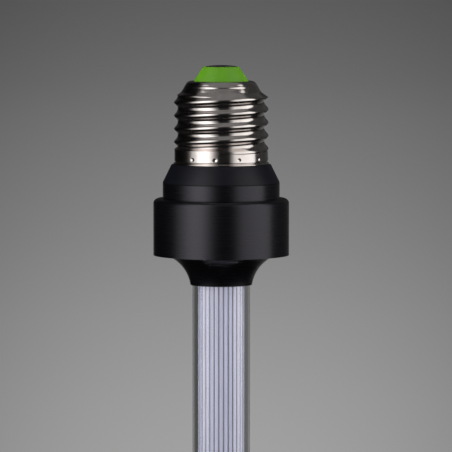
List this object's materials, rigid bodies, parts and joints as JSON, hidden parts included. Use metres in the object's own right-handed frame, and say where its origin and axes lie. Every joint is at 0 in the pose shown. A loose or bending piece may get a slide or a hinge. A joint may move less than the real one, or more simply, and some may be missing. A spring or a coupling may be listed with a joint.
{
  "type": "tube light bulb",
  "caption": "Slim decorative tube bulb with a screw cap, a black turned collar and a long clear tube round a ribbed milky core.",
  "frame": {"origin": "on the bulb's axis, at the foot of the screw shell's skirt, where the lampholder's mouth sits", "axes": "+Z along the axis, up to the centre contact; the tube hangs towards -Z. +X is right and -Y is the front as the picture shows them"},
  "size_m": [0.0376, 0.0376, 0.3],
  "materials": {
    "nickel": "bright nickel plate on thin formed metal",
    "green_plastic": "glossy green moulding",
    "black_collar": "black satin anodised, turned",
    "black_plastic": "black satin moulding",
    "clear_acrylic": "clear, polished",
    "milky_acrylic": "milky, faintly lavender, ribbed and satin",
    "white_silicone": "soft white",
    "heat_metal": "turned",
    "white_board": "white solder mask",
    "green_board": "green laminate",
    "emitter": "yellow phosphor under clear resin",
    "can": "dark printed sleeve left bare",
    "film_box": "moulded box",
    "resistor_body": "coated body",
    "choke_sleeve": "shrunk black sleeve",
    "black_epoxy": "moulded package",
    "red_sleeve": "red insulation",
    "black_sleeve": "black insulation"
  },
  "bodies": {
    "root": {"screw_shell": "nickel", "cap_insulator": "green_plastic", "centre_contact": "nickel", "insulating_neck": "black_plastic", "upper_collar": "black_collar", "lower_collar": "black_collar", "tube_seal": "white_silicone", "heat_spreader": "heat_metal", "led_board": "white_board", "led_emitters": "emitter", "outer_tube": "clear_acrylic", "light_guide": "milky_acrylic", "tube_end_plug": "clear_acrylic", "driver_board": "green_board", "storage_capacitor": "can", "film_capacitor": "film_box", "fusible_resistor": "resistor_body", "input_choke": "choke_sleeve", "bridge_rectifier": "black_epoxy", "driver_chip": "black_epoxy", "contact_lead": "red_sleeve", "shell_lead": "black_sleeve", "led_lead_positive": "red_sleeve", "led_lead_negative": "black_sleeve"}
  },
  "joints": []
}
